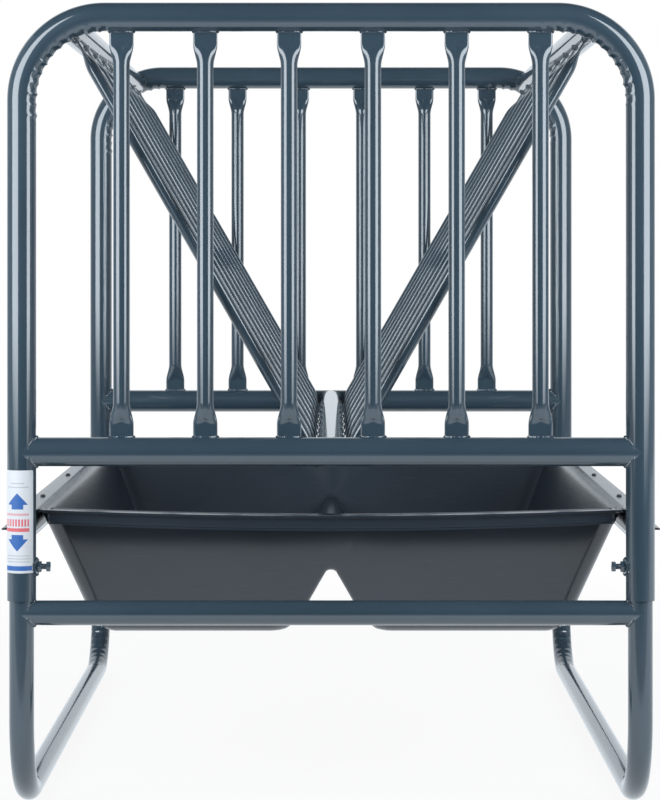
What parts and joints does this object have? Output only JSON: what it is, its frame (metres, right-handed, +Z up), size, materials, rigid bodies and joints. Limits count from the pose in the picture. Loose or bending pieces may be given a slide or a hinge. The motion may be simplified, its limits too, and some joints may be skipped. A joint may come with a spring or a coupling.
{
  "type": "hay and grain feeder",
  "caption": "Free-standing livestock feeder: a tube frame on U skids with a V-shaped hay rack over a moulded grain trough, its height set by clamp bolts.",
  "frame": {"origin": "on the ground under the middle of the feeder", "axes": "+Z up, +Y along the feeder's length away from the pictured end, +X to that end's right"},
  "size_m": [1.024, 1.524, 1.2465],
  "materials": {
    "frame_paint": "glossy slate blue-grey powder coat over welded steel tube",
    "base_paint": "glossy slate blue-grey powder coat",
    "trough_plastic": "satin dark grey polyethylene",
    "screw_steel": "zinc-plated steel",
    "label_film": "satin white label film with blue arrows and red bars"
  },
  "bodies": {
    "base": {"left_skid": "base_paint", "right_skid": "base_paint", "front_base_bar": "base_paint", "back_base_bar": "base_paint"},
    "upper_frame": {"front_arch": "frame_paint", "back_arch": "frame_paint", "front_lower_rail": "frame_paint", "back_lower_rail": "frame_paint", "front_picket_1": "frame_paint", "front_picket_2": "frame_paint", "front_picket_3": "frame_paint", "front_picket_4": "frame_paint", "front_picket_5": "frame_paint", "front_picket_6": "frame_paint", "back_picket_1": "frame_paint", "back_picket_2": "frame_paint", "back_picket_3": "frame_paint", "back_picket_4": "frame_paint", "back_picket_5": "frame_paint", "back_picket_6": "frame_paint", "left_top_rail": "frame_paint", "right_top_rail": "frame_paint", "left_trough_rail": "frame_paint", "right_trough_rail": "frame_paint", "centre_rail": "frame_paint", "left_rack_bar_1": "frame_paint", "left_rack_bar_2": "frame_paint", "left_rack_bar_3": "frame_paint", "left_rack_bar_4": "frame_paint", "left_rack_bar_5": "frame_paint", "left_rack_bar_6": "frame_paint", "left_rack_bar_7": "frame_paint", "left_rack_bar_8": "frame_paint", "left_rack_bar_9": "frame_paint", "right_rack_bar_1": "frame_paint", "right_rack_bar_2": "frame_paint", "right_rack_bar_3": "frame_paint", "right_rack_bar_4": "frame_paint", "right_rack_bar_5": "frame_paint", "right_rack_bar_6": "frame_paint", "right_rack_bar_7": "frame_paint", "right_rack_bar_8": "frame_paint", "right_rack_bar_9": "frame_paint", "trough": "trough_plastic", "left_trough_screw_1": "screw_steel", "left_trough_screw_2": "screw_steel", "left_trough_screw_3": "screw_steel", "right_trough_screw_1": "screw_steel", "right_trough_screw_2": "screw_steel", "right_trough_screw_3": "screw_steel", "front_left_weld_nut": "frame_paint", "front_right_weld_nut": "frame_paint", "back_left_weld_nut": "frame_paint", "back_right_weld_nut": "frame_paint"},
    "front_left_clamp": {"front_left_clamp_bolt": "frame_paint"},
    "front_right_clamp": {"front_right_clamp_bolt": "frame_paint"},
    "back_left_clamp": {"back_left_clamp_bolt": "frame_paint"},
    "back_right_clamp": {"back_right_clamp_bolt": "frame_paint"}
  },
  "joints": [
    {"name": "height_slide", "type": "slide", "parent": "base", "child": "upper_frame", "axis": [0, 0, 1], "range_m": [0, 0.2032]},
    {"name": "front_left_clamp_screw", "type": "slide", "parent": "upper_frame", "child": "front_left_clamp", "axis": [1, 0, 0], "range_m": [0, 0.008]},
    {"name": "front_right_clamp_screw", "type": "slide", "parent": "upper_frame", "child": "front_right_clamp", "axis": [-1, 0, 0], "range_m": [0, 0.008]},
    {"name": "back_left_clamp_screw", "type": "slide", "parent": "upper_frame", "child": "back_left_clamp", "axis": [1, 0, 0], "range_m": [0, 0.008]},
    {"name": "back_right_clamp_screw", "type": "slide", "parent": "upper_frame", "child": "back_right_clamp", "axis": [-1, 0, 0], "range_m": [0, 0.008]}
  ]
}
